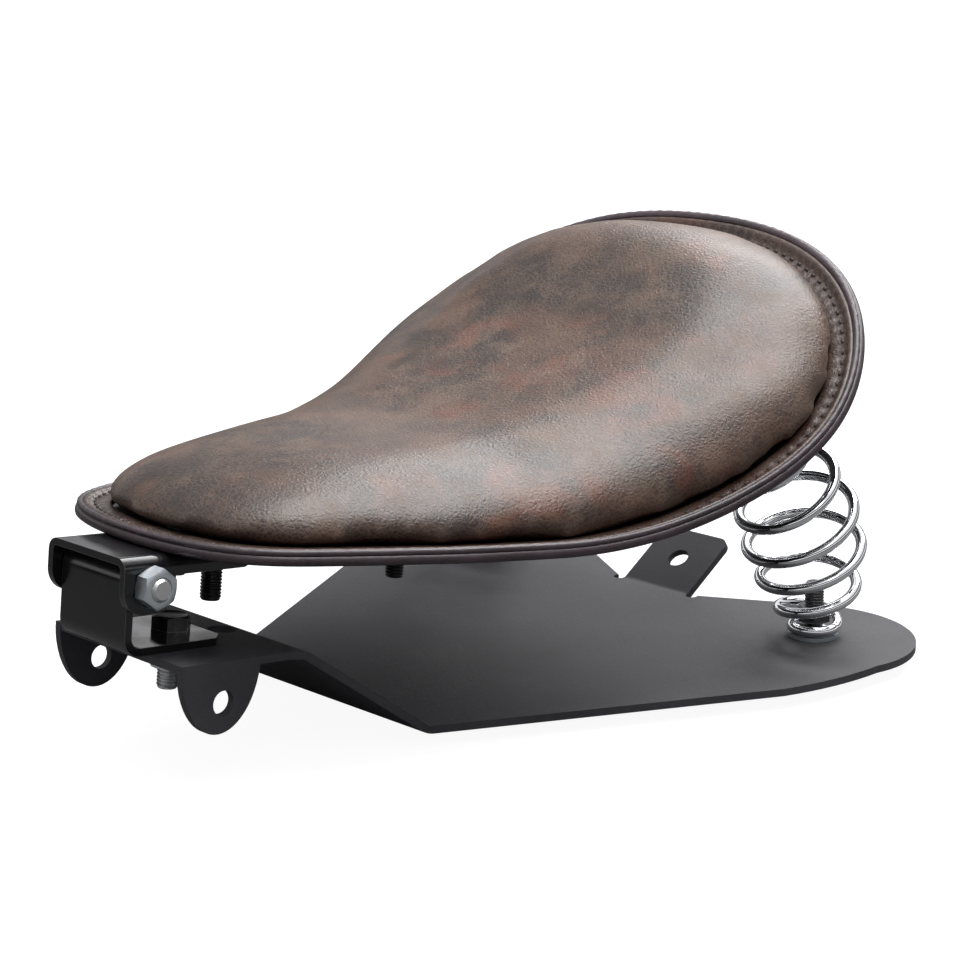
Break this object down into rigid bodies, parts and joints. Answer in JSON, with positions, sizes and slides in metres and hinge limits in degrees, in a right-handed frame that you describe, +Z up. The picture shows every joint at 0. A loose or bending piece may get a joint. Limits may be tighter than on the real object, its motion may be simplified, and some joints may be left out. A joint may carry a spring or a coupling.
{
  "type": "motorcycle seat",
  "caption": "Sprung solo motorcycle seat: padded leather saddle hinged at the nose and carried on two barrel coil springs over a folded steel base plate.",
  "frame": {"origin": "centre of the bolt hole in the rear tab, on the seat's middle plane", "axes": "+X towards the nose of the seat (forward), +Y to the rider's left along the front ear holes' axis, +Z up from the flat base plate"},
  "size_m": [0.3373, 0.271, 0.1883],
  "materials": {
    "powder_coat": "matt charcoal powder coat, fine texture",
    "gloss_black": "gloss black paint",
    "black_oxide": "black oxide bolt steel",
    "zinc": "bright zinc plate",
    "chrome": "bright chrome plate",
    "pan_paint": "satin black paint",
    "foam": "open-cell polyurethane foam",
    "leather": "distressed dark brown leather, fine grain",
    "binding": "smooth dark plum-brown leather"
  },
  "bodies": {
    "base": {"base_plate": "powder_coat", "pivot_bracket": "gloss_black", "pivot_bracket_bolt": "black_oxide", "pivot_bracket_washer": "zinc", "pivot_bracket_nut": "zinc", "spring_lower_bolts": "black_oxide", "spring_lower_washers": "zinc", "spring_lower_nuts": "black_oxide", "spring_left": "chrome", "spring_right": "chrome"},
    "seat": {"seat_bracket": "gloss_black", "bracket_washers": "zinc", "bracket_nuts": "zinc", "hinge_bolt": "black_oxide", "hinge_nut": "zinc", "seat_pan": "pan_paint", "pan_studs": "zinc", "seat_foam": "foam", "seat_cover": "leather", "cover_flange": "leather", "rim_binding": "binding", "spring_upper_washers": "black_oxide", "spring_upper_nuts": "black_oxide"}
  },
  "joints": [
    {"name": "seat_hinge", "type": "hinge", "parent": "base", "child": "seat", "pos_m": [0.30778, 0, 0.05842], "axis": [0, 1, 0], "range_deg": [-7, 2], "stiffness_Nm_per_rad": 950, "deforming": ["spring_left", "spring_right"]}
  ]
}
